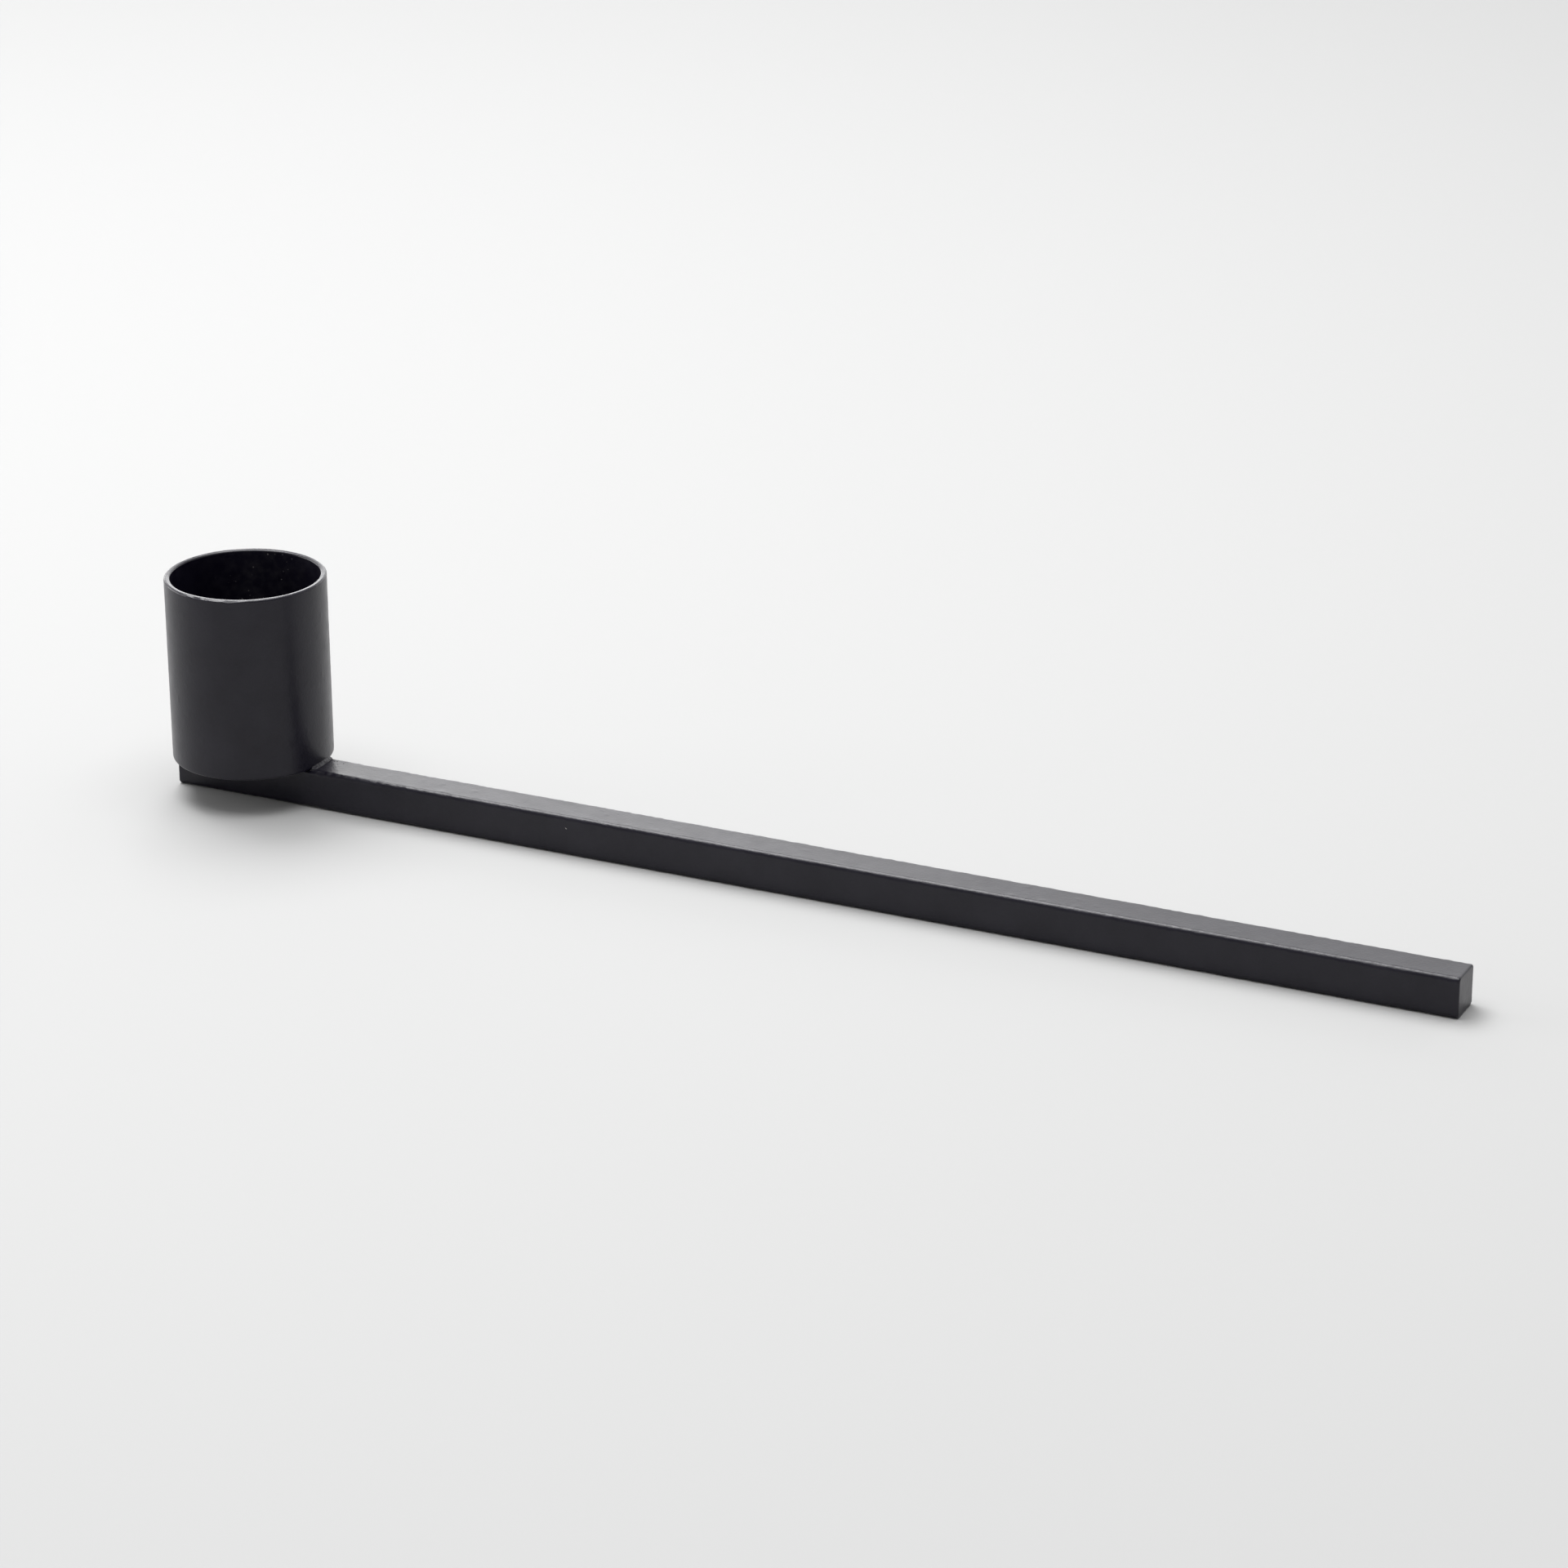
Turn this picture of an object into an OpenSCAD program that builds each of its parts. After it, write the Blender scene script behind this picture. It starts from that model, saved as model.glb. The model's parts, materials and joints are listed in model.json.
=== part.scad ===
// Candle snuffer: a round steel cup, closed at one end, welded by its closed end
// across one end of a long square bar that is the handle.
// +X runs along the handle, away from the cup, and +Z is the way the cup opens.
// The origin is on the cup's axis, on the flat underside of the bar.

/* [Cup] */
// Outer diameter of the cup's tube
cup_d = 32; // [28:0.5:40]
// Wall thickness of the cup's tube
cup_wall = 1.2; // [1:0.1:2]
// Height of the cup's tube
cup_h = 37.5; // [20:0.5:60]
// Thickness of the disc that closes the cup
base_t = 1.5; // [1.2:0.1:3]
// Rounding of the rim's outer edge
rim_outer_r = 0.45; // [0.2:0.05:0.6]
// Rounding of the rim's inner edge
rim_inner_r = 0.35; // [0.05:0.05:0.35]
// Rounding of the tube's lower edge
foot_r = 0.45; // [0.1:0.05:0.5]

/* [Handle] */
// Width and height of the square bar
bar_size = 8; // [6:0.5:12]
// Length of the square bar
bar_len = 269; // [120:0.5:400]
// Distance from the bar's end to the outside of the cup beyond it
cup_overhang = 0.5; // [0:0.1:2]
// Rounding of the bar's long edges
bar_edge_r = 0.9; // [0.3:0.1:1.5]
// Rounding of the edges round each end of the bar
bar_end_r = 0.35; // [0.2:0.05:1.2]

/* [Welds] */
// Radius of the bead across the top of the bar, where the cup's wall meets it
root_bead_r = 0.8; // [0.6:0.1:2]
// Leg of the beads along the sides of the bar, under the cup
side_leg = 1.8; // [1:0.1:3]
// Length of each bead along the side of the bar
side_weld_len = 20; // [8:1:22]
// Width of the seam that joins the disc to the tube, on the cup's underside
seam_w = 1.2; // [0.8:0.1:1.4]

/* [Hidden] */
$fn = 96;

cup_r = cup_d / 2;
bore_r = cup_r - cup_wall;
bar_start = cup_overhang - cup_r;
// Cutters and clips reach this far past what they cut
over = 1;
// A side bead's root stops this far in from the side of the bar, on its rounded edge
side_root = 0.6;

coat = "#2b2b2f";
weld_coat = "#343438";

// What a rounding of radius r takes off a square corner, with its centre at the origin
module corner_cut(r) {
    difference() {
        square(r + over);
        circle(r);
    }
}

// Outline of the bar, seen along its length, with its underside on y = 0
module bar_section() {
    half = bar_size / 2;
    difference() {
        translate([-half, 0]) square(bar_size);
        translate([0, half])
            for (turn = [0:90:270])
                rotate(turn) translate([half - bar_edge_r, half - bar_edge_r]) corner_cut(bar_edge_r);
    }
}

// Rounds the four edges at the end of the bar that faces +X, where x = 0
module bar_end_cut() {
    half = bar_size / 2;
    translate([0, 0, half])
        for (turn = [0:90:270])
            rotate([turn, 0, 0])
                translate([-bar_end_r, 0, half - bar_end_r])
                    rotate([90, 0, 0])
                        linear_extrude(bar_size + 2 * over, center = true) corner_cut(bar_end_r);
}

// The seam between the disc and the tube, as radius and height above the cup's underside.
// It goes through the whole thickness of the disc.
module seam_section() {
    polygon([[bore_r - seam_w / 2, 0], [bore_r + seam_w / 2, 0], [bore_r, base_t]]);
}

// A cut length of round tube, with its rim deburred by hand
module cup_tube() {
    color(coat) translate([0, 0, bar_size]) rotate_extrude() difference() {
        translate([bore_r, 0]) square([cup_wall, cup_h]);
        translate([cup_r - rim_outer_r, cup_h - rim_outer_r]) corner_cut(rim_outer_r);
        translate([bore_r + rim_inner_r, cup_h - rim_inner_r]) rotate(90) corner_cut(rim_inner_r);
        translate([cup_r - foot_r, foot_r]) rotate(-90) corner_cut(foot_r);
        seam_section();
    }
}

// The disc that closes the cup, level with the tube's lower end
module cup_base() {
    color(coat) translate([0, 0, bar_size]) rotate_extrude() difference() {
        square([bore_r, base_t]);
        seam_section();
    }
}

// The weld between the disc and the tube, ground level with the cup's underside
module base_seam_weld() {
    color(weld_coat) translate([0, 0, bar_size]) rotate_extrude() seam_section();
}

// The square bar, which lies flat and carries the cup on one end
module handle_bar() {
    color(coat) translate([bar_start, 0, 0]) difference() {
        rotate([90, 0, 90]) linear_extrude(bar_len) bar_section();
        translate([bar_len, 0, 0]) bar_end_cut();
        mirror([1, 0, 0]) bar_end_cut();
    }
}

// The bead where the cup's wall meets the top of the bar. It runs straight across the
// bar's flat, and its centre line is where the wall crosses the flat's edges.
module root_weld() {
    flat_half = bar_size / 2 - bar_edge_r;
    bead_x = sqrt(cup_r * cup_r - flat_half * flat_half);
    color(weld_coat) difference() {
        translate([bead_x, 0, bar_size]) rotate([90, 0, 0])
            linear_extrude(2 * flat_half, center = true) intersection() {
                translate([-root_bead_r, 0]) square([2 * root_bead_r, root_bead_r]);
                circle(root_bead_r);
            }
        cylinder(h = bar_size + cup_h, r = cup_r);
    }
}

// A bead in the corner between the side of the bar and the underside of the cup
module side_weld() {
    half = bar_size / 2;
    color(weld_coat) rotate([90, 0, 90])
        linear_extrude(side_weld_len, center = true) difference() {
            intersection() {
                translate([half, bar_size]) circle(side_leg);
                translate([half - side_root, 0]) square([side_leg + over, bar_size]);
            }
            bar_section();
        }
}

module side_weld_back() side_weld();

module side_weld_front() mirror([0, 1, 0]) side_weld();

cup_tube();
cup_base();
base_seam_weld();
handle_bar();
root_weld();
side_weld_front();
side_weld_back();
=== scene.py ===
"""Looks of the candle snuffer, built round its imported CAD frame.

Blender works in metres. Details of shape and finish are named in millimetres, and MM turns them
into metres where they are used.
"""

import json
import math
import random

import bmesh
import bpy
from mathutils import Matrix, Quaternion, Vector, noise


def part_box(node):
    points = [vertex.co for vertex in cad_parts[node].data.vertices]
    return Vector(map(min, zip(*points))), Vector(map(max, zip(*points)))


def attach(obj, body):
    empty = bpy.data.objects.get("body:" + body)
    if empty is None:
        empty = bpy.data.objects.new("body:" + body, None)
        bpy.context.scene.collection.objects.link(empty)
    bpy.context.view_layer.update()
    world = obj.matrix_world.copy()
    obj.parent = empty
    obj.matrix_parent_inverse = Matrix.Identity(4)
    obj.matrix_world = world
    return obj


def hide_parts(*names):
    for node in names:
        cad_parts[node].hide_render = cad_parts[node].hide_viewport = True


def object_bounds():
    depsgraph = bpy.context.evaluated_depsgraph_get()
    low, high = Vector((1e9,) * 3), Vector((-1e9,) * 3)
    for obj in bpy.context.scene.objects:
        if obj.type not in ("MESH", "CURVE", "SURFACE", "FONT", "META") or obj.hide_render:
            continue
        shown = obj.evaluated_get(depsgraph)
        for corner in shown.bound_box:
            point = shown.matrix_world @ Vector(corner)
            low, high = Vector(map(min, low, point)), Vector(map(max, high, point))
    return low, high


MM = 0.001

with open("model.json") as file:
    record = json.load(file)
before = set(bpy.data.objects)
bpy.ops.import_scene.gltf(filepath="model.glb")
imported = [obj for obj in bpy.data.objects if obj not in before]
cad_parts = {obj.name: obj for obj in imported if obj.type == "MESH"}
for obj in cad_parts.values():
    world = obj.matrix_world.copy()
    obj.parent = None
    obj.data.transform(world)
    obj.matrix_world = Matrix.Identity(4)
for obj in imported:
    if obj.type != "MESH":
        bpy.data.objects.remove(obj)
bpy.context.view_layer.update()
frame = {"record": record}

# ---------------------------------------------------------------- sizes, from the frame

tube_low, tube_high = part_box("cup_tube")
bar_low, bar_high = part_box("handle_bar")
side_low, side_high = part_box("side_weld_back")
base_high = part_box("cup_base")[1]
root_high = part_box("root_weld")[1]
seam_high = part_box("base_seam_weld")[1]
mounts = {mount["name"]: mount for mount in frame["record"]["mounts"]}

CUP_R = tube_high.x
BORE_R = mounts["candle_bore"]["dims"]["r_mm"] * MM
DECK_Z = tube_low.z
RIM_Z = tube_high.z
BAR_HALF = bar_high.y
BAR_MID_Z = (bar_low.z + bar_high.z) / 2
SEAM_OUTER_R = seam_high.x
SEAM_INNER_R = 2 * BORE_R - SEAM_OUTER_R
SIDE_BEAD_R = DECK_Z - side_low.z

# Roundings: the rim's two edges, the foot of the tube, the bar's long edges and its ends
RIM_OUTER_R = 0.45 * MM
RIM_INNER_R = 0.35 * MM
FOOT_R = 0.45 * MM
BAR_EDGE_R = 0.9 * MM
BAR_END_R = 0.35 * MM

# The rim, with angles in degrees: its flat leans inwards, and at one stretch round the cup a
# file has left a slope that leans outwards
RIM_LEAN = 8.0
FILED_MIDDLE = -82.0
FILED_HALF = 27.0
FILED_TILT = 32.0
FILED_W = 0.42 * MM
RIDGE_W = 0.04 * MM

# How much thicker the coat is along the bar's edges than between them
EDGE_BUILD = 0.012 * MM
# How far along the bar's top the roughness and the spatter beside the root weld go
HEAT_REACH = 3.0 * MM
# Dust and painted light: the angle round the inside of the cup where there is most, on the far inner wall
# that light from the front falls on, and one pale fleck of dust on the bar
DUST_AND_PAINTED_LIGHT_MIDDLE = 108.0
DUST_FLECK = Vector((72.8 * MM, -BAR_HALF, BAR_MID_Z + 1.6 * MM))

# ---------------------------------------------------------------- relief of the surfaces


def waves(point, length, seed):
    """Smooth noise from -1 to 1 whose waves are about length millimetres long.

    Each seed gives another pattern.
    """
    return noise.noise(point / (length * MM) + Vector((seed, -2 * seed, 3 * seed)))


def patches(point, length, seed):
    """Noise from 0 to 1 that marks out patches about length millimetres across."""
    return min(1.0, max(0.0, 0.5 + 1.2 * waves(point, length, seed)))


def coat_relief(point):
    """Height of the powder coat: a slow unevenness, a faint orange peel and scattered nibs."""
    slow = 0.006 * waves(point, 14.0, 1.3) + 0.003 * waves(point, 4.5, 4.1)
    peel = 0.0016 * waves(point, 1.1, 2.7)
    nibs = 0.085 * max(0.0, waves(point, 1.5, 5.9) - 0.33) * patches(point, 26.0, 8.2)
    return (slow + peel + nibs) * MM


def heat_relief(point):
    """Extra roughness of the bar's top beside the root weld, which dies out along the bar."""
    if point.z < DECK_Z - BAR_EDGE_R:
        return 0.0
    beyond = max(0.0, point.x - root_high.x) / HEAT_REACH
    rough = 0.022 * waves(point, 0.6, 3.3) + 0.026 * waves(point, 1.2, 6.1)
    return rough * math.exp(-beyond * beyond) * MM


# ---------------------------------------------------------------- mesh building


def steps(low, high, count):
    """count values that go evenly from low up to, and not including, high."""
    return [low + (high - low) * i / count for i in range(count)]


def arc(centre, radius, start, end, count):
    """Points and outward normals on an arc in a plane, in degrees, without its last point."""
    out = []
    for degrees in steps(start, end, count):
        c, s = math.cos(math.radians(degrees)), math.sin(math.radians(degrees))
        out.append((centre[0] + radius * c, centre[1] + radius * s, c, s))
    return out


def line(start, end, normal, count):
    """Points and one normal on a straight line in a plane, without its last point."""
    out = []
    for t in steps(0.0, 1.0, count):
        a = start[0] + (end[0] - start[0]) * t
        b = start[1] + (end[1] - start[1]) * t
        out.append((a, b, normal[0], normal[1]))
    return out


def ring_faces(first, second, count):
    """Quads between two closed rings of count points, given the index of each ring's first."""
    faces = []
    for i in range(count):
        j = (i + 1) % count
        faces.append((first + i, first + j, second + j, second + i))
    return faces


def looped(rings):
    """Points and faces of a ring-shaped solid: rings of points, the last joined to the first."""
    count = len(rings[0])
    faces = []
    for k in range(len(rings)):
        faces += ring_faces(k * count, (k + 1) % len(rings) * count, count)
    return [p for ring in rings for p in ring], faces


def capped(first, rings, last):
    """Points and faces of a solid that starts at one point, grows through rings and ends at one."""
    count = len(rings[0])
    end = len(rings) * count + 1
    faces = [(0, 1 + i, 1 + (i + 1) % count) for i in range(count)]
    for k in range(len(rings) - 1):
        faces += ring_faces(1 + k * count, 1 + (k + 1) * count, count)
    faces += [(end - count + i, end - count + (i + 1) % count, end) for i in range(count)]
    return [first] + [p for ring in rings for p in ring] + [last], faces


def joined(solids):
    """Several solids' points and faces as one list of each."""
    points, faces = [], []
    for more_points, more_faces in solids:
        faces += [tuple(i + len(points) for i in face) for face in more_faces]
        points += more_points
    return points, faces


def new_piece(name, solid, slot_name, node, **marks):
    """A smooth-shaded piece that stands for a CAD node.

    marks can hold "worn", "coarse" and the dust mark, each a number for every point. The dust mark is dust,
    and also painted light on the cup's far inner wall. They go from 0 to 1, except that 2 marks a fleck.
    """
    points, faces = solid
    mesh = bpy.data.meshes.new(name)
    mesh.from_pydata(points, [], faces)
    shape = bmesh.new()
    shape.from_mesh(mesh)
    bmesh.ops.recalc_face_normals(shape, faces=shape.faces)
    shape.to_mesh(mesh)
    shape.free()
    mesh.polygons.foreach_set("use_smooth", [True] * len(mesh.polygons))
    for mark in ("worn", "coarse", "dust"):
        layer = mesh.attributes.new(mark, "FLOAT", "POINT")
        layer.data.foreach_set("value", marks.get(mark) or [0.0] * len(points))
    piece = bpy.data.objects.new(name, mesh)
    bpy.context.scene.collection.objects.link(piece)
    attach(piece, "root")
    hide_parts(node)
    return piece


# ---------------------------------------------------------------- the cup

TUBE_TURNS = 360
DISC_TURNS = 120
DISC_RINGS = 16
DISC_TOP_RINGS = 20
SEAM_TURNS = 300


def filed_slope(turn):
    """From 0 to 1, how far a file has sloped the rim outwards at an angle round the cup."""
    off = abs((math.degrees(turn) - FILED_MIDDLE + 180) % 360 - 180) / FILED_HALF
    return max(0.0, 1 - off**4)


def tube_profile(turn):
    """The tube's closed outline at an angle round the cup, as radius, height and normal.

    The rim's flat leans inwards from a ridge. A filed slope, where there is one, falls outwards
    from the ridge to the rounding of the rim's outer edge.
    """
    side = Vector((math.cos(turn), math.sin(turn), 0.0)) * CUP_R
    filed = filed_slope(turn)
    uneven = 0.25 * waves(side, 6.0, 2.2) + 0.12 * waves(side, 2.0, 7.4)
    outer_r = RIM_OUTER_R * (1 + uneven - 0.6 * filed)
    inner_r = RIM_INNER_R * (1 + 0.2 * waves(side, 5.0, 9.6) - 0.5 * filed)
    tilt = math.radians(FILED_TILT) * filed * (1 + 0.6 * waves(side, 1.6, 3.9))
    slope_w = RIDGE_W + FILED_W * filed
    outer_centre_r = CUP_R - outer_r
    slope_foot_r = outer_centre_r + outer_r * math.sin(tilt)
    slope_foot = (slope_foot_r, RIM_Z - slope_w * math.tan(tilt))
    outer_centre = (outer_centre_r, slope_foot[1] - outer_r * math.cos(tilt))
    ridge = (slope_foot_r - slope_w, RIM_Z)
    lean = math.radians(RIM_LEAN)
    lip_centre_r = BORE_R + inner_r
    lip_r = lip_centre_r - inner_r * math.sin(lean)
    lip = (lip_r, RIM_Z - (ridge[0] - lip_r) * math.tan(lean))
    lip_centre = (lip_centre_r, lip[1] - inner_r * math.cos(lean))
    corner = (BORE_R, base_high.z)
    seam_edge = (SEAM_OUTER_R, DECK_Z)
    foot_centre = (CUP_R - FOOT_R, DECK_Z + FOOT_R)
    outline = line((CUP_R, foot_centre[1]), (CUP_R, outer_centre[1]), (1, 0), 112)
    outline += arc(outer_centre, outer_r, 0, 90 - math.degrees(tilt), 12)
    outline += line(slope_foot, ridge, (math.sin(tilt), math.cos(tilt)), 4)
    outline += line(ridge, lip, (-math.sin(lean), math.cos(lean)), 6)
    outline += arc(lip_centre, inner_r, 90 + RIM_LEAN, 180, 8)
    outline += line((BORE_R, lip_centre[1]), corner, (-1, 0), 70)
    outline += line(corner, seam_edge, (-1, 0), 3)
    outline += line(seam_edge, (foot_centre[0], DECK_Z), (0, -1), 3)
    outline += arc(foot_centre, FOOT_R, -90, 0, 5)
    return outline


def rim_wear(point):
    """From 0 to 1, how much a point belongs to the rim, which was deburred by hand."""
    return min(1.0, max(0.0, (point.z - RIM_Z) / (0.6 * RIM_OUTER_R) + 2.3))


def file_marks(point, filed):
    """Uneven cuts that the file left round the rim's outer edge, strongest on the filed slope."""
    cuts = 0.030 * waves(point, 1.4, 4.8) + 0.015 * waves(point, 0.5, 1.9)
    return cuts * (0.25 + 0.9 * filed) * MM


def dustiness(turn):
    """How much dust the inside of the cup has at an angle round it, from 0 on most of it to 1; the peak is
    also painted light, a paler band on the far inner wall where light from the front falls.
    """
    return max(0.0, math.cos(turn - math.radians(DUST_AND_PAINTED_LIGHT_MIDDLE))) ** 3


def make_tube():
    """The tube. The mesh is a closed outline carried round the cup's axis."""
    turns = steps(0.0, math.tau, TUBE_TURNS)
    outlines = [tube_profile(turn) for turn in turns]
    rings, worn, dust = [], [], []
    for k in range(len(outlines[0])):
        ring = []
        for turn, outline in zip(turns, outlines):
            r, z, nr, nz = outline[k]
            out = Vector((math.cos(turn), math.sin(turn), 0.0))
            point = out * r + Vector((0, 0, z))
            wear = rim_wear(point)
            lift = coat_relief(point)
            if r > BORE_R + RIM_INNER_R:
                lift += wear * file_marks(point, filed_slope(turn))
            ring.append(point + (out * nr + Vector((0, 0, nz))) * lift)
            worn.append(wear)
            # Inside the cup the dust mark peaks on the far inner wall: partly dust, partly a painted pool
            # of the light from the front.
            dust.append(dustiness(turn) if r < BORE_R + 0.5 * RIM_INNER_R else 0.0)
        rings.append(ring)
    solid = looped(rings)
    return new_piece("cup_tube_coated", solid, "powder_coat", "cup_tube", worn=worn, dust=dust)


def round_rings(outline, turns):
    """A ring of points round the cup's axis for each radius and height of an outline."""
    rings = []
    for r, z in outline:
        ring = [Vector((r * math.cos(t), r * math.sin(t), z)) for t in steps(0.0, math.tau, turns)]
        rings.append(ring)
    return rings


def make_base():
    """The disc. The coat draws up into a small fillet where the disc's top meets the tube."""
    fillet = 0.35 * MM
    flat_r = BORE_R - fillet
    outline = [(SEAM_INNER_R * k / DISC_RINGS, DECK_Z) for k in range(1, DISC_RINGS + 1)]
    outline += [(BORE_R, base_high.z)]
    outline += [(BORE_R - fillet * t, base_high.z + fillet * (1 - t) ** 2) for t in steps(0.0, 1.0, 6)]
    outline += [(flat_r * k / DISC_TOP_RINGS, base_high.z) for k in range(DISC_TOP_RINGS, 0, -1)]
    rings = round_rings(outline, DISC_TURNS)
    for ring in rings:
        for point in ring:
            point.z += coat_relief(point) * (1 if point.z > base_high.z - MM else -1)
    solid = capped(Vector((0, 0, DECK_Z)), rings, Vector((0, 0, base_high.z)))
    dust = [1.0 if point.z > base_high.z - MM else 0.0 for point in solid[0]]
    return new_piece("cup_base_coated", solid, "powder_coat", "cup_base", dust=dust)


def make_seam():
    """The ring of weld between the disc and the tube, ground nearly level on the underside."""
    across = 6
    outline = line((SEAM_INNER_R, DECK_Z), (SEAM_OUTER_R, DECK_Z), (0, -1), across)
    outline += line((SEAM_OUTER_R, DECK_Z), (BORE_R, seam_high.z), (1, 0), 3)
    outline += line((BORE_R, seam_high.z), (SEAM_INNER_R, DECK_Z), (-1, 0), 3)
    rings = round_rings([place[:2] for place in outline], SEAM_TURNS)
    for k, ring in enumerate(rings):
        for point in ring:
            hollow = 0.02 * MM * (1 + waves(point, 2.5, 3.7)) if 0 < k < across else 0.0
            point.z += hollow - coat_relief(point)
    return new_piece("base_seam_coated", looped(rings), "weld_coat", "base_seam_weld")


# ---------------------------------------------------------------- the handle

CORNERS = ((1, 1), (-1, 1), (-1, -1), (1, -1))
EDGE_STEPS = 8
FLAT_STEPS = 24
END_STEPS = 6
CAP_STEPS = 10
BAR_STATIONS = 640
HEATED_STATIONS = 50


def edge_radius(x, sy, sz):
    """Radius of one of the bar's long edges at x. It wavers a little, as a rolled bar's does."""
    edge = Vector((x, sy * BAR_HALF, BAR_MID_Z + sz * BAR_HALF))
    slow = 0.10 * waves(edge, 9.0, 1.1) + 0.08 * waves(edge, 3.0, 5.5)
    return BAR_EDGE_R * (1 + slow + 0.25 * waves(edge, 1.3, 7.9))


def bar_outline(x, inset):
    """The bar's outline at x as y, z and normal, drawn in by inset where an end is rounded."""
    half = BAR_HALF - inset
    edges = []
    for k, (sy, sz) in enumerate(CORNERS):
        r = max(0.25 * MM, edge_radius(x, sy, sz) - inset)
        centre = (sy * (half - r), BAR_MID_Z + sz * (half - r))
        edges.append(arc(centre, r, 90 * k, 90 * k + 90 * (1 + 1 / EDGE_STEPS), EDGE_STEPS + 1))
    outline = []
    for k, edge in enumerate(edges):
        following = edges[(k + 1) % 4][0]
        outline += edge[:-1] + line(edge[-1][:2], following[:2], edge[-1][2:], FLAT_STEPS)
    return outline


def edge_build(y, z):
    """How much thicker the coat is at a point of the bar's outline than between its edges."""
    off_middle = min(abs(y), abs(z - BAR_MID_Z)) / (BAR_HALF - BAR_EDGE_R)
    return EDGE_BUILD * min(1.0, off_middle) ** 3


def edge_share(y, z):
    """From 0 to 1, how much a point of the bar's outline belongs to one of its long edges."""
    off_edge = BAR_HALF - min(abs(y), abs(z - BAR_MID_Z))
    return min(1.0, max(0.0, 1.6 - off_edge / BAR_EDGE_R))


def bar_stations():
    """Where the bar's outlines lie: each is x, how far it is drawn in, and how it faces along X.

    They lie closest together where the heat of the root weld has roughened the bar.
    """
    out = []
    for angle in steps(0.0, math.pi / 2, END_STEPS):
        back, inset = BAR_END_R * (1 - math.cos(angle)), BAR_END_R * (1 - math.sin(angle))
        out.append((back, inset, math.cos(angle)))
    low = [(bar_low.x + back, inset, -facing) for back, inset, facing in out]
    high = [(bar_high.x - back, inset, facing) for back, inset, facing in reversed(out)]
    first, last = bar_low.x + BAR_END_R, bar_high.x - BAR_END_R
    spread = steps(first, last, BAR_STATIONS) + [last]
    heated = steps(root_high.x - 1.0 * MM, root_high.x + 2 * HEAT_REACH, HEATED_STATIONS)
    spread = sorted([x for x in spread if not heated[0] <= x <= heated[-1]] + heated)
    return low + [(x, 0.0, 0.0) for x in spread] + high


def end_relief(point):
    """Unevenness of a sawn and ground end of the bar."""
    return (0.020 * waves(point, 3.0, 2.1) + 0.008 * waves(point, 1.0, 6.6)) * MM


def cap_rings(ring, facing):
    """Rings that close an end of the bar, from its rim inwards, and the point in the middle."""
    centre = Vector((ring[0].x, 0.0, BAR_MID_Z))
    rings = []
    for k in range(CAP_STEPS - 1, 0, -1):
        share = k / CAP_STEPS
        inner = []
        for point in ring:
            place = centre + (point - centre) * share
            place.x = centre.x + facing * (1 - share**4) * end_relief(place)
            inner.append(place)
        rings.append(inner)
    return rings, centre + Vector((facing * end_relief(centre), 0.0, 0.0))


def fleck_mark(points, place):
    """The dust marks for one fleck: 2 at the point nearest to a place, and 0 at the others."""
    gaps = [(point - place).length for point in points]
    nearest = gaps.index(min(gaps))
    return [2.0 if i == nearest else 0.0 for i in range(len(points))]


def make_bar():
    """The bar. The mesh is a closed outline carried along it, with both ends closed."""
    rings = []
    for x, inset, facing in bar_stations():
        across = math.sqrt(1 - facing * facing)
        ring = []
        for y, z, ny, nz in bar_outline(x, inset):
            point = Vector((x, y, z))
            lift = coat_relief(point) + heat_relief(point) + edge_build(y, z) - EDGE_BUILD
            ring.append(point + Vector((facing, ny * across, nz * across)) * lift)
        rings.append(ring)
    start_rings, start = cap_rings(rings[0], -1)
    end_rings, end = cap_rings(rings[-1], 1)
    solid = capped(start, start_rings[::-1] + rings + end_rings, end)
    dust = fleck_mark(solid[0], DUST_FLECK)
    coarse = [edge_share(point.y, point.z) for point in solid[0]]
    return new_piece("handle_bar_coated", solid, "powder_coat", "handle_bar", coarse=coarse, dust=dust)


# ---------------------------------------------------------------- the welds

ROOT_BEAD_H = 0.70 * MM
ROOT_STEPS = 80
SIDE_STEPS = 150
SPATTER_BALLS = 18
BALL_SQUASH = 0.8


def ripple(distance, pitch):
    """The step of a weld's ripples, from 0 to 1: each rises slowly and falls fast."""
    t = distance / pitch % 1.0
    return t / 0.75 if t < 0.75 else (1 - t) / 0.25


def root_section(leg, height):
    """A concave fillet from the cup's wall down to the bar, with a lip of metal at its toe.

    Gives distances from the wall and heights above the bar. Its last points lie buried in both.
    """
    lip_h = 0.20 * MM
    lip_w = 0.20 * MM
    buried = 0.3 * MM
    section = []
    for t in steps(0.0, 1.0, 22):
        out = leg * t
        lip_at = (out - leg + 1.1 * lip_w) / lip_w
        section.append((out, height * (1 - t) ** 1.7 + lip_h * math.exp(-lip_at * lip_at)))
    section += [(leg, 0.0), (leg - 0.1 * MM, -0.2 * MM)]
    return section + [(-buried, -buried), (-buried, height)]


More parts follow.
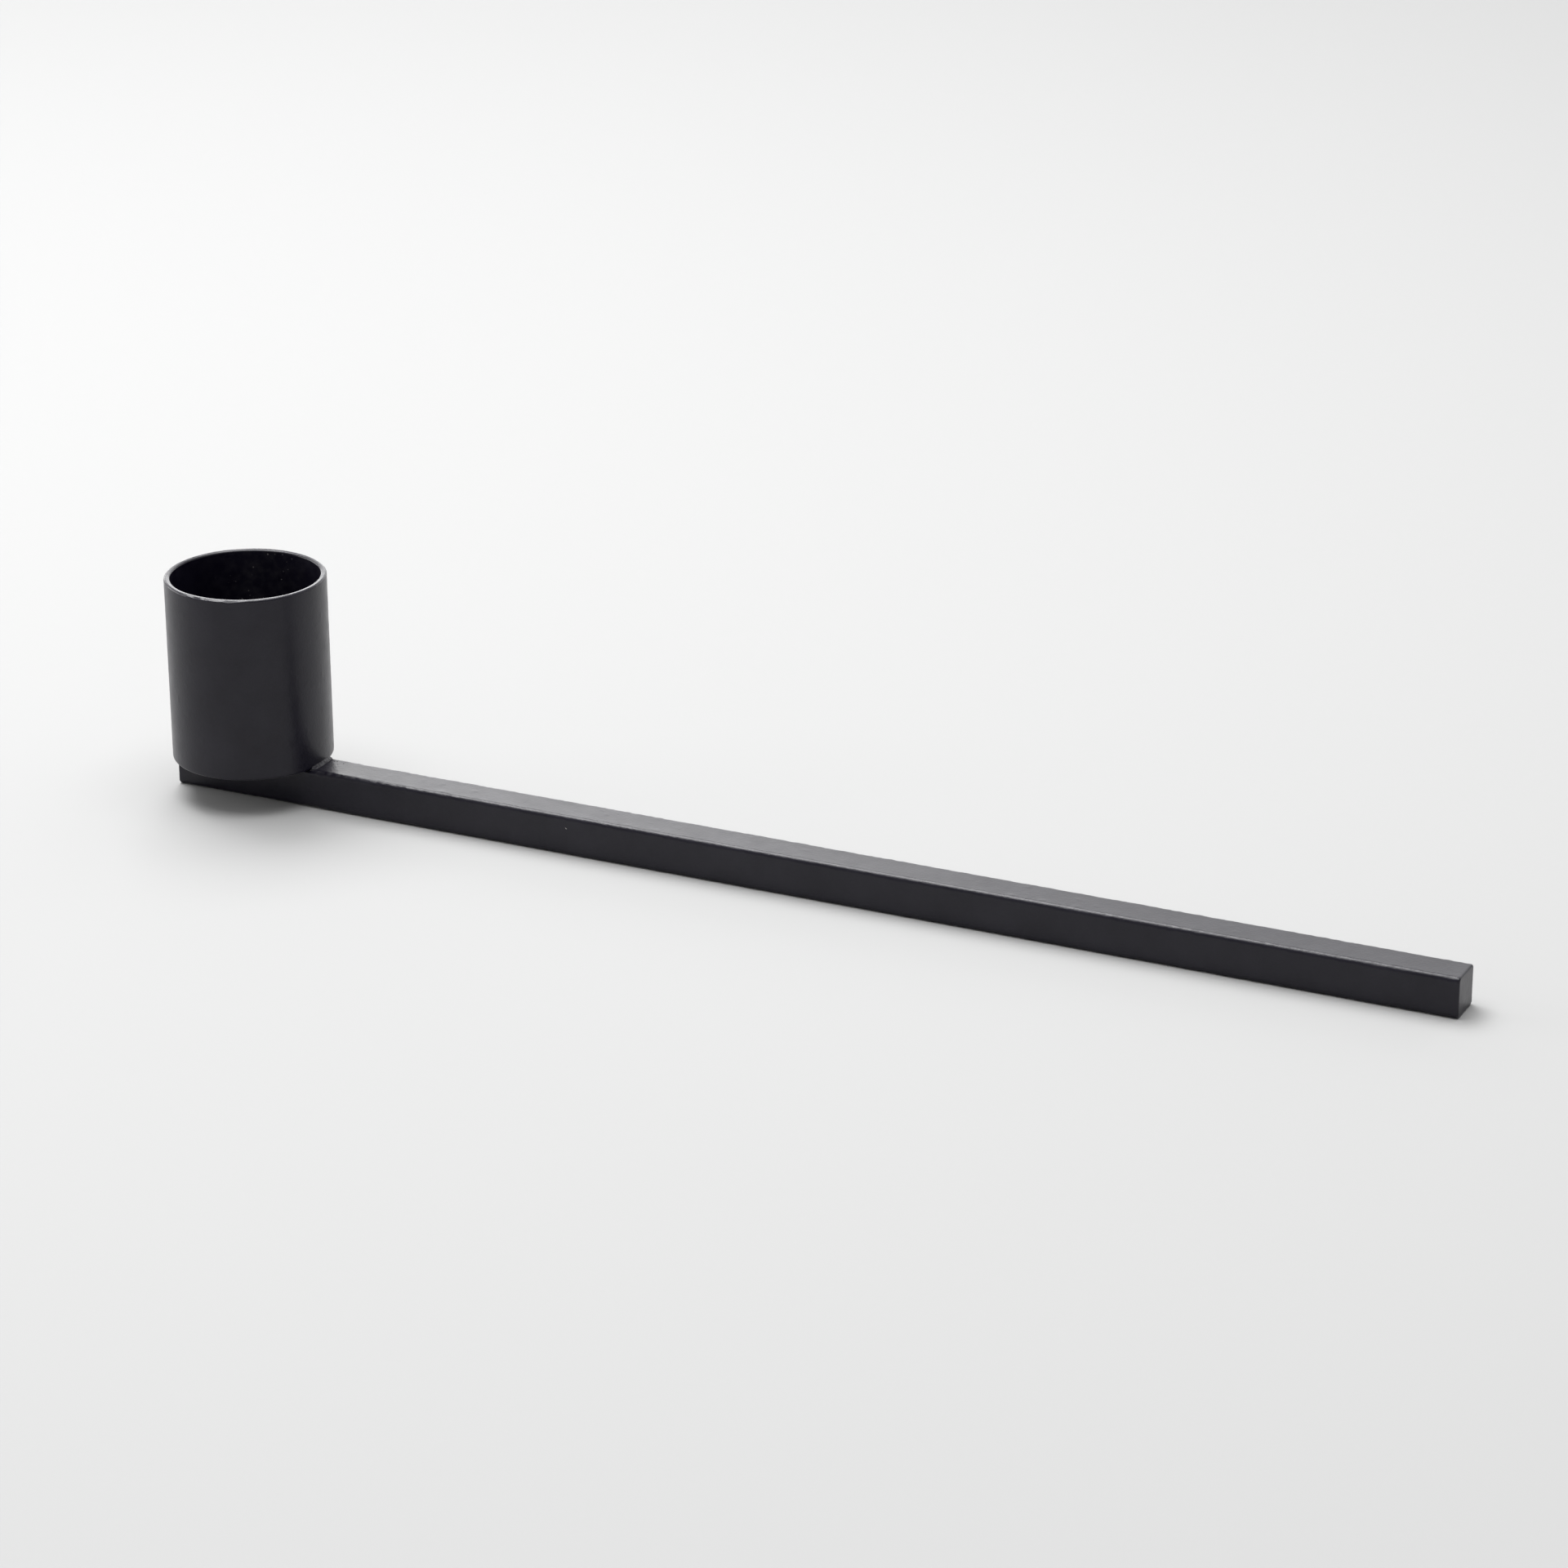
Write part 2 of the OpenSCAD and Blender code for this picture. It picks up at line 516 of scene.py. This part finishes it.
def root_bead():
    """The bead across the top of the bar. Its toe is nearly straight, and it runs over the edges."""
    reach = BAR_HALF - 0.35 * MM
    flat = BAR_HALF - BAR_EDGE_R
    rings = []
    for k in range(ROOT_STEPS + 1):
        y = reach * (2 * k / ROOT_STEPS - 1)
        over = max(0.0, abs(y) - flat)
        sink = BAR_EDGE_R - math.sqrt(BAR_EDGE_R**2 - over**2)
        wall = math.sqrt(CUP_R**2 - y * y)
        spot = Vector((wall, y, DECK_Z))
        taper = math.sqrt(max(0.02, 1 - (abs(y) / reach) ** 12))
        leg = (root_high.x - wall + 0.10 * MM * waves(spot, 1.5, 8.8)) * taper
        height = ROOT_BEAD_H * taper * (1 + 0.15 * waves(spot, 2.0, 6.2))
        height *= 0.92 + 0.08 * ripple(y + 0.1 * MM * waves(spot, 1.0, 2.3), 0.9 * MM)
        section = root_section(leg, height)
        rings.append([Vector((wall + out, y, DECK_Z - sink + up)) for out, up in section])
    return capped(middle_of(rings[0]), rings, middle_of(rings[-1]))


def middle_of(ring):
    """The middle of a ring of points."""
    return sum(ring, Vector()) / len(ring)


def side_bead(side):
    """The bead in the corner between a side of the bar and the cup's underside."""
    rings = []
    for k in range(SIDE_STEPS + 1):
        x = side_low.x + (side_high.x - side_low.x) * k / SIDE_STEPS
        spot = Vector((x, side * BAR_HALF, DECK_Z))
        taper = math.sqrt(max(0.01, 1 - (2 * k / SIDE_STEPS - 1) ** 10))
        radius = SIDE_BEAD_R * taper * (1 + 0.06 * waves(spot, 3.0, 1.7))
        ring = []
        for degrees in steps(15, -115, 20):
            crescent = 0.9 * MM * math.cos(math.radians(2 * (degrees + 45)))
            r = radius * (0.95 + 0.06 * ripple(x + crescent, 1.7 * MM))
            a = math.radians(degrees)
            ring.append(Vector((x, side * (BAR_HALF + r * math.cos(a)), DECK_Z + r * math.sin(a))))
        ring.append(Vector((x, side * (BAR_HALF - 0.5 * MM), DECK_Z + 0.2 * MM)))
        rings.append(ring)
    return capped(middle_of(rings[0]), rings, middle_of(rings[-1]))


def ball(centre, radius):
    """A slightly flattened ball."""
    up = Vector((0, 0, radius * BALL_SQUASH))
    rings = []
    for lean in (30, 60, 90, 120, 150):
        flat = radius * math.sin(math.radians(lean))
        level = centre + up * math.cos(math.radians(lean))
        turns = steps(0.0, math.tau, 10)
        rings.append([level + Vector((flat * math.cos(t), flat * math.sin(t), 0)) for t in turns])
    return capped(centre + up, rings, centre - up)


def spatter():
    """Tiny balls of weld metal stuck on the top of the bar beside the root weld, coated over."""
    draw = random.Random(11)
    solids = []
    for _ in range(SPATTER_BALLS):
        radius = draw.uniform(0.05, 0.09) * MM
        beyond = draw.random() ** 1.5 * HEAT_REACH
        y = draw.uniform(-1, 1) * (BAR_HALF - BAR_EDGE_R)
        centre = Vector((root_high.x + 0.1 * MM + beyond, y, DECK_Z))
        solids.append(ball(centre, radius))
    return solids


def make_welds():
    """The bead on top of the bar, with its spatter, and the two beads under the cup."""
    solid = joined([root_bead()] + spatter())
    return [
        new_piece("root_weld_coated", solid, "weld_coat", "root_weld"),
        new_piece("side_weld_front_coated", side_bead(-1), "weld_coat", "side_weld_front"),
        new_piece("side_weld_back_coated", side_bead(1), "weld_coat", "side_weld_back"),
    ]


# ---------------------------------------------------------------- materials

POWDER_DARK = (0.0020, 0.0011, 0.0062)
POWDER_LIGHT = (0.0060, 0.0051, 0.0112)
WELD_DARK = (0.0030, 0.0020, 0.0066)
WELD_LIGHT = (0.0060, 0.0050, 0.0102)
# Pale colour of the dust. On the cup's far inner wall it also paints the light from the front.
DUST_AND_PAINTED_LIGHT_COLOUR = (0.30, 0.29, 0.28)
# How much less rough the coat is where it is worn
WORN_SHINE = 0.06
# How much deeper the coat's finest texture is where it is coarse
COARSE_DEPTH = 2.5
# Spacing of the dust specks, in millimetres
SPECK_SPACING = 1.3


class Nodes:
    """Short calls that add and link a material's or a world's nodes."""

    def __init__(self, owner):
        """Empties the node tree of a material or a world, ready for new nodes."""
        owner.use_nodes = True
        self.tree = owner.node_tree
        self.tree.nodes.clear()

    def add(self, kind, links=None, **settings):
        """A node of a kind, with its inputs linked or set by name, and its settings set."""
        node = self.tree.nodes.new("ShaderNode" + kind)
        for key, value in settings.items():
            setattr(node, key, value)
        for key, value in (links or {}).items():
            if isinstance(value, bpy.types.NodeSocket):
                self.tree.links.new(value, node.inputs[key])
            else:
                node.inputs[key].default_value = value
        return node

    def math(self, operation, first, second):
        """The result of a sum or the like of two numbers or sockets."""
        return self.add("Math", {0: first, 1: second}, operation=operation).outputs[0]

    def mark(self, name):
        """A mark that the meshes carry for each point."""
        return self.add("Attribute", attribute_name=name).outputs["Fac"]

    def blend(self, share, first, second):
        """A colour between two others, each a colour or a socket, by a share from 0 to 1.

        The Mix node's inputs 6 and 7 are its two colours.
        """
        return self.add("Mix", {"Factor": share, 6: first, 7: second}, data_type="RGBA").outputs[2]

    def noise(self, place, length, detail=2.0):
        """Noise whose waves are about length millimetres long."""
        scale = 1 / (length * MM)
        return self.add("TexNoise", {"Vector": place, "Scale": scale, "Detail": detail}).outputs["Fac"]

    def remap(self, value, low, high, to_low, to_high):
        """A value that goes evenly from to_low to to_high as another goes from low to high."""
        inputs = {"Value": value, "From Min": low, "From Max": high, "To Min": to_low, "To Max": to_high}
        return self.add("MapRange", inputs).outputs["Result"]


def coat_material(name, dark, light, smooth, rough, peel):
    """Satin black powder coat over steel.

    dark and light are the colours it drifts between, smooth and rough the ends of its roughness,
    and peel the height of its finest texture in millimetres.
    """
    material = bpy.data.materials.new(name)
    nodes = Nodes(material)
    place = nodes.add("TexCoord").outputs["Object"]
    drift = nodes.remap(nodes.noise(place, 9.0, 3.0), 0.35, 0.65, 0.0, 1.0)
    fine = nodes.noise(place, 0.45)
    grain = nodes.noise(place, 0.12, 1.0)
    tint = nodes.blend(drift, (*dark, 1), (*light, 1))

    # Dust specks everywhere, a faint pale film where the dust mark is set, and the fleck. On the cup's far
    # inner wall the film is painted light from the front as well as dust.
    dust = nodes.mark("dust")
    cell = nodes.add("TexVoronoi", {"Vector": place, "Scale": 1 / (SPECK_SPACING * MM)})
    size = nodes.math("MULTIPLY", nodes.noise(place, 5.0), nodes.math("ADD", dust, 0.10))
    near = nodes.math("SUBTRACT", nodes.math("MULTIPLY", size, 0.19), cell.outputs["Distance"])
    scattered = nodes.remap(near, 0.0, 0.03, 0.0, 0.5)
    cloud = nodes.remap(nodes.noise(place, 1.6), 0.4, 0.7, 0.0, 0.035)
    dust_and_painted_light_film = nodes.math("MULTIPLY", nodes.math("MINIMUM", dust, 1.0), cloud)
    fleck = nodes.remap(dust, 1.1, 1.4, 0.0, 1.0)
    speck_and_painted_light = nodes.math("MAXIMUM", nodes.math("MAXIMUM", scattered, dust_and_painted_light_film), fleck)

    matt = nodes.remap(nodes.noise(place, 3.0), 0.3, 0.7, smooth, rough)
    shine = nodes.math("MULTIPLY", nodes.mark("worn"), WORN_SHINE)

    height = nodes.remap(nodes.mark("coarse"), 0.0, 1.0, peel * MM, COARSE_DEPTH * peel * MM)
    low = nodes.add("Bump", {"Strength": 1.0, "Distance": height, "Height": fine}).outputs["Normal"]
    bump = nodes.add("Bump", {"Strength": 1.0, "Distance": 0.2 * peel * MM, "Height": grain, "Normal": low})
    shader = nodes.add("BsdfPrincipled", {
        "Base Color": nodes.blend(speck_and_painted_light, tint, (*DUST_AND_PAINTED_LIGHT_COLOUR, 1)),
        "Roughness": nodes.math("SUBTRACT", matt, shine),
        "Specular IOR Level": 0.36,
        "Normal": bump.outputs["Normal"],
    })
    nodes.add("OutputMaterial", {"Surface": shader.outputs[0]})
    return material


# ---------------------------------------------------------------- the studio

VIEW_AZIMUTH = 26.12
VIEW_ELEVATION = 21.65
VIEW_ROLL = -0.33
VIEW_LENS = 112.49
VIEW_DISTANCE = 0.9255
VIEW_AIM = Vector((0.1179, 0.0, 0.0210))
FLOOR_R = 6.0
FLOOR_TURNS = 96
FLOOR_GREY = 0.37
# How bright the room is at the front, and on the right, compared with the back
FRONT_LEVEL = 0.42
RIGHT_LEVEL = 0.8


def add_camera():
    """The camera. VIEW_AZIMUTH is 0 straight in front and grows to the right."""
    azimuth, elevation = math.radians(VIEW_AZIMUTH), math.radians(VIEW_ELEVATION)
    flat = Vector((math.sin(azimuth), -math.cos(azimuth), 0.0))
    back = flat * math.cos(elevation) + Vector((0.0, 0.0, math.sin(elevation)))
    camera = bpy.data.objects.new("camera", bpy.data.cameras.new("camera"))
    camera.data.sensor_width = 36.0
    camera.data.lens = VIEW_LENS
    camera.data.clip_start = 0.01
    camera.data.clip_end = 50.0
    camera.rotation_mode = "QUATERNION"
    roll = Quaternion((0.0, 0.0, 1.0), math.radians(VIEW_ROLL))
    camera.rotation_quaternion = (-back).to_track_quat("-Z", "Y") @ roll
    camera.location = VIEW_AIM + back * VIEW_DISTANCE
    bpy.context.scene.collection.objects.link(camera)
    bpy.context.scene.camera = camera


def add_panel(name, centre, aim, width, height, radiance):
    """A soft panel of light whose face has the given radiance."""
    light = bpy.data.lights.new(name, "AREA")
    light.shape = "RECTANGLE"
    light.size = width
    light.size_y = height
    light.energy = radiance * math.pi * width * height
    panel = bpy.data.objects.new(name, light)
    panel.location = centre
    panel.rotation_mode = "QUATERNION"
    panel.rotation_quaternion = (Vector(aim) - Vector(centre)).to_track_quat("-Z", "Y")
    panel.visible_camera = False
    bpy.context.scene.collection.objects.link(panel)


def add_floor():
    """A round floor, level with the lowest point of the coat under the bar."""
    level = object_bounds()[0][2]
    rim = round_rings([(FLOOR_R, level)], FLOOR_TURNS)[0]
    mesh = bpy.data.meshes.new("floor")
    mesh.from_pydata(rim, [], [tuple(range(FLOOR_TURNS))])
    floor = bpy.data.objects.new("floor", mesh)
    bpy.context.scene.collection.objects.link(floor)
    material = bpy.data.materials.new("floor")
    nodes = Nodes(material)
    shader = nodes.add("BsdfDiffuse", {"Color": (FLOOR_GREY, FLOOR_GREY, FLOOR_GREY, 1)})
    nodes.add("OutputMaterial", {"Surface": shader.outputs[0]})
    mesh.materials.append(material)


def add_world():
    """A pale room: white at the back, and dimmer towards the front and the right."""
    world = bpy.data.worlds.new("room")
    bpy.context.scene.world = world
    nodes = Nodes(world)
    way = nodes.add("TexCoord").outputs["Generated"]
    parts = nodes.add("SeparateXYZ", {"Vector": way}).outputs
    from_front = nodes.remap(parts["Y"], -0.3, 0.3, FRONT_LEVEL, 1.0)
    to_right = nodes.remap(parts["X"], 0.1, 0.8, 1.0, RIGHT_LEVEL)
    strength = nodes.math("MULTIPLY", from_front, to_right)
    sky = nodes.add("Background", {"Color": (1.0, 1.0, 1.0, 1), "Strength": strength})
    nodes.add("OutputWorld", {"Surface": sky.outputs[0]})


def add_lights():
    """Three panels stand side by side behind the object, one at its left, and two hang above."""
    add_panel("back_panel", (-1.25, 1.25, 0.34), (-1.25, 0.0, 0.34), 1.40, 0.62, 2.8)
    add_panel("middle_panel", (-0.475, 1.25, 0.34), (-0.475, 0.0, 0.34), 0.15, 0.62, 2.0)
    add_panel("back_fill", (0.175, 1.25, 0.36), (0.175, 0.0, 0.36), 1.15, 0.64, 1.0)
    add_panel("left_panel", (-1.25, -0.20, 0.33), (0.0, 0.0, 0.0), 1.2, 0.6, 3.5)
    add_panel("key_panel", (-0.45, 0.45, 1.15), (0.05, 0.0, 0.0), 0.9, 0.7, 9.0)
    add_panel("top_panel", (0.00, -0.10, 1.0), (0.00, -0.10, 0.0), 1.0, 0.7, 4.5)


# ---------------------------------------------------------------- putting it together


def main():
    """Builds the pieces, coats them, and sets up the studio."""
    coat = coat_material("powder_coat", POWDER_DARK, POWDER_LIGHT, smooth=0.29, rough=0.35, peel=0.020)
    weld = coat_material("weld_coat", WELD_DARK, WELD_LIGHT, smooth=0.36, rough=0.46, peel=0.045)
    for piece in (make_tube(), make_base(), make_bar()):
        piece.data.materials.append(coat)
    for piece in (make_seam(), *make_welds()):
        piece.data.materials.append(weld)
    add_camera()
    add_floor()
    add_world()
    add_lights()
    bpy.context.scene.view_settings.view_transform = "Standard"


main()
